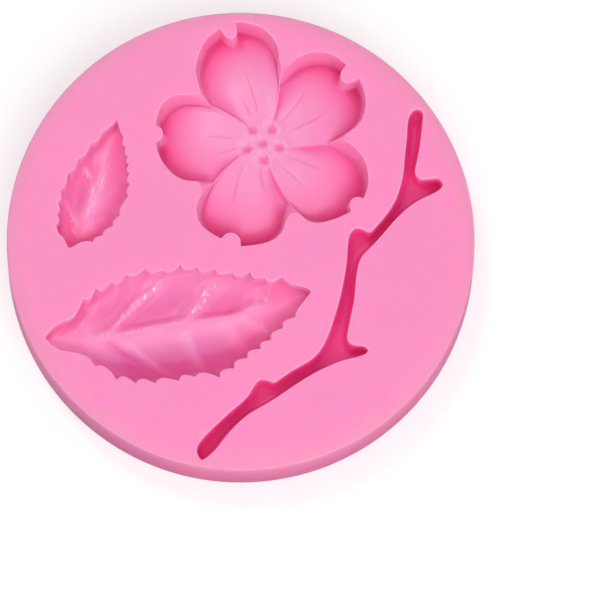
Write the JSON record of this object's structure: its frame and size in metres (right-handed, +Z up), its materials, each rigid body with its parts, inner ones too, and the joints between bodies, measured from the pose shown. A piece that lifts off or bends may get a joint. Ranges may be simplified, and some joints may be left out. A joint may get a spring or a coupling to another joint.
{
  "type": "silicone fondant mold",
  "caption": "Round pink silicone mold with a blossom, a large leaf, a small leaf and a forked branch sunk into its flat face, for pressing fondant.",
  "frame": {"origin": "middle of the flat underside, on the surface that the mold lies on", "axes": "+Z up out of the face with the cavities, +Y from the large leaf towards the blossom, +X from the leaves towards the branch"},
  "size_m": [0.0812, 0.0812, 0.012],
  "materials": {
    "silicone": "satin"
  },
  "bodies": {
    "root": {"base_web": "silicone", "flower_cavity": "silicone", "small_leaf_cavity": "silicone", "large_leaf_cavity": "silicone", "branch_cavity": "silicone"}
  },
  "joints": []
}
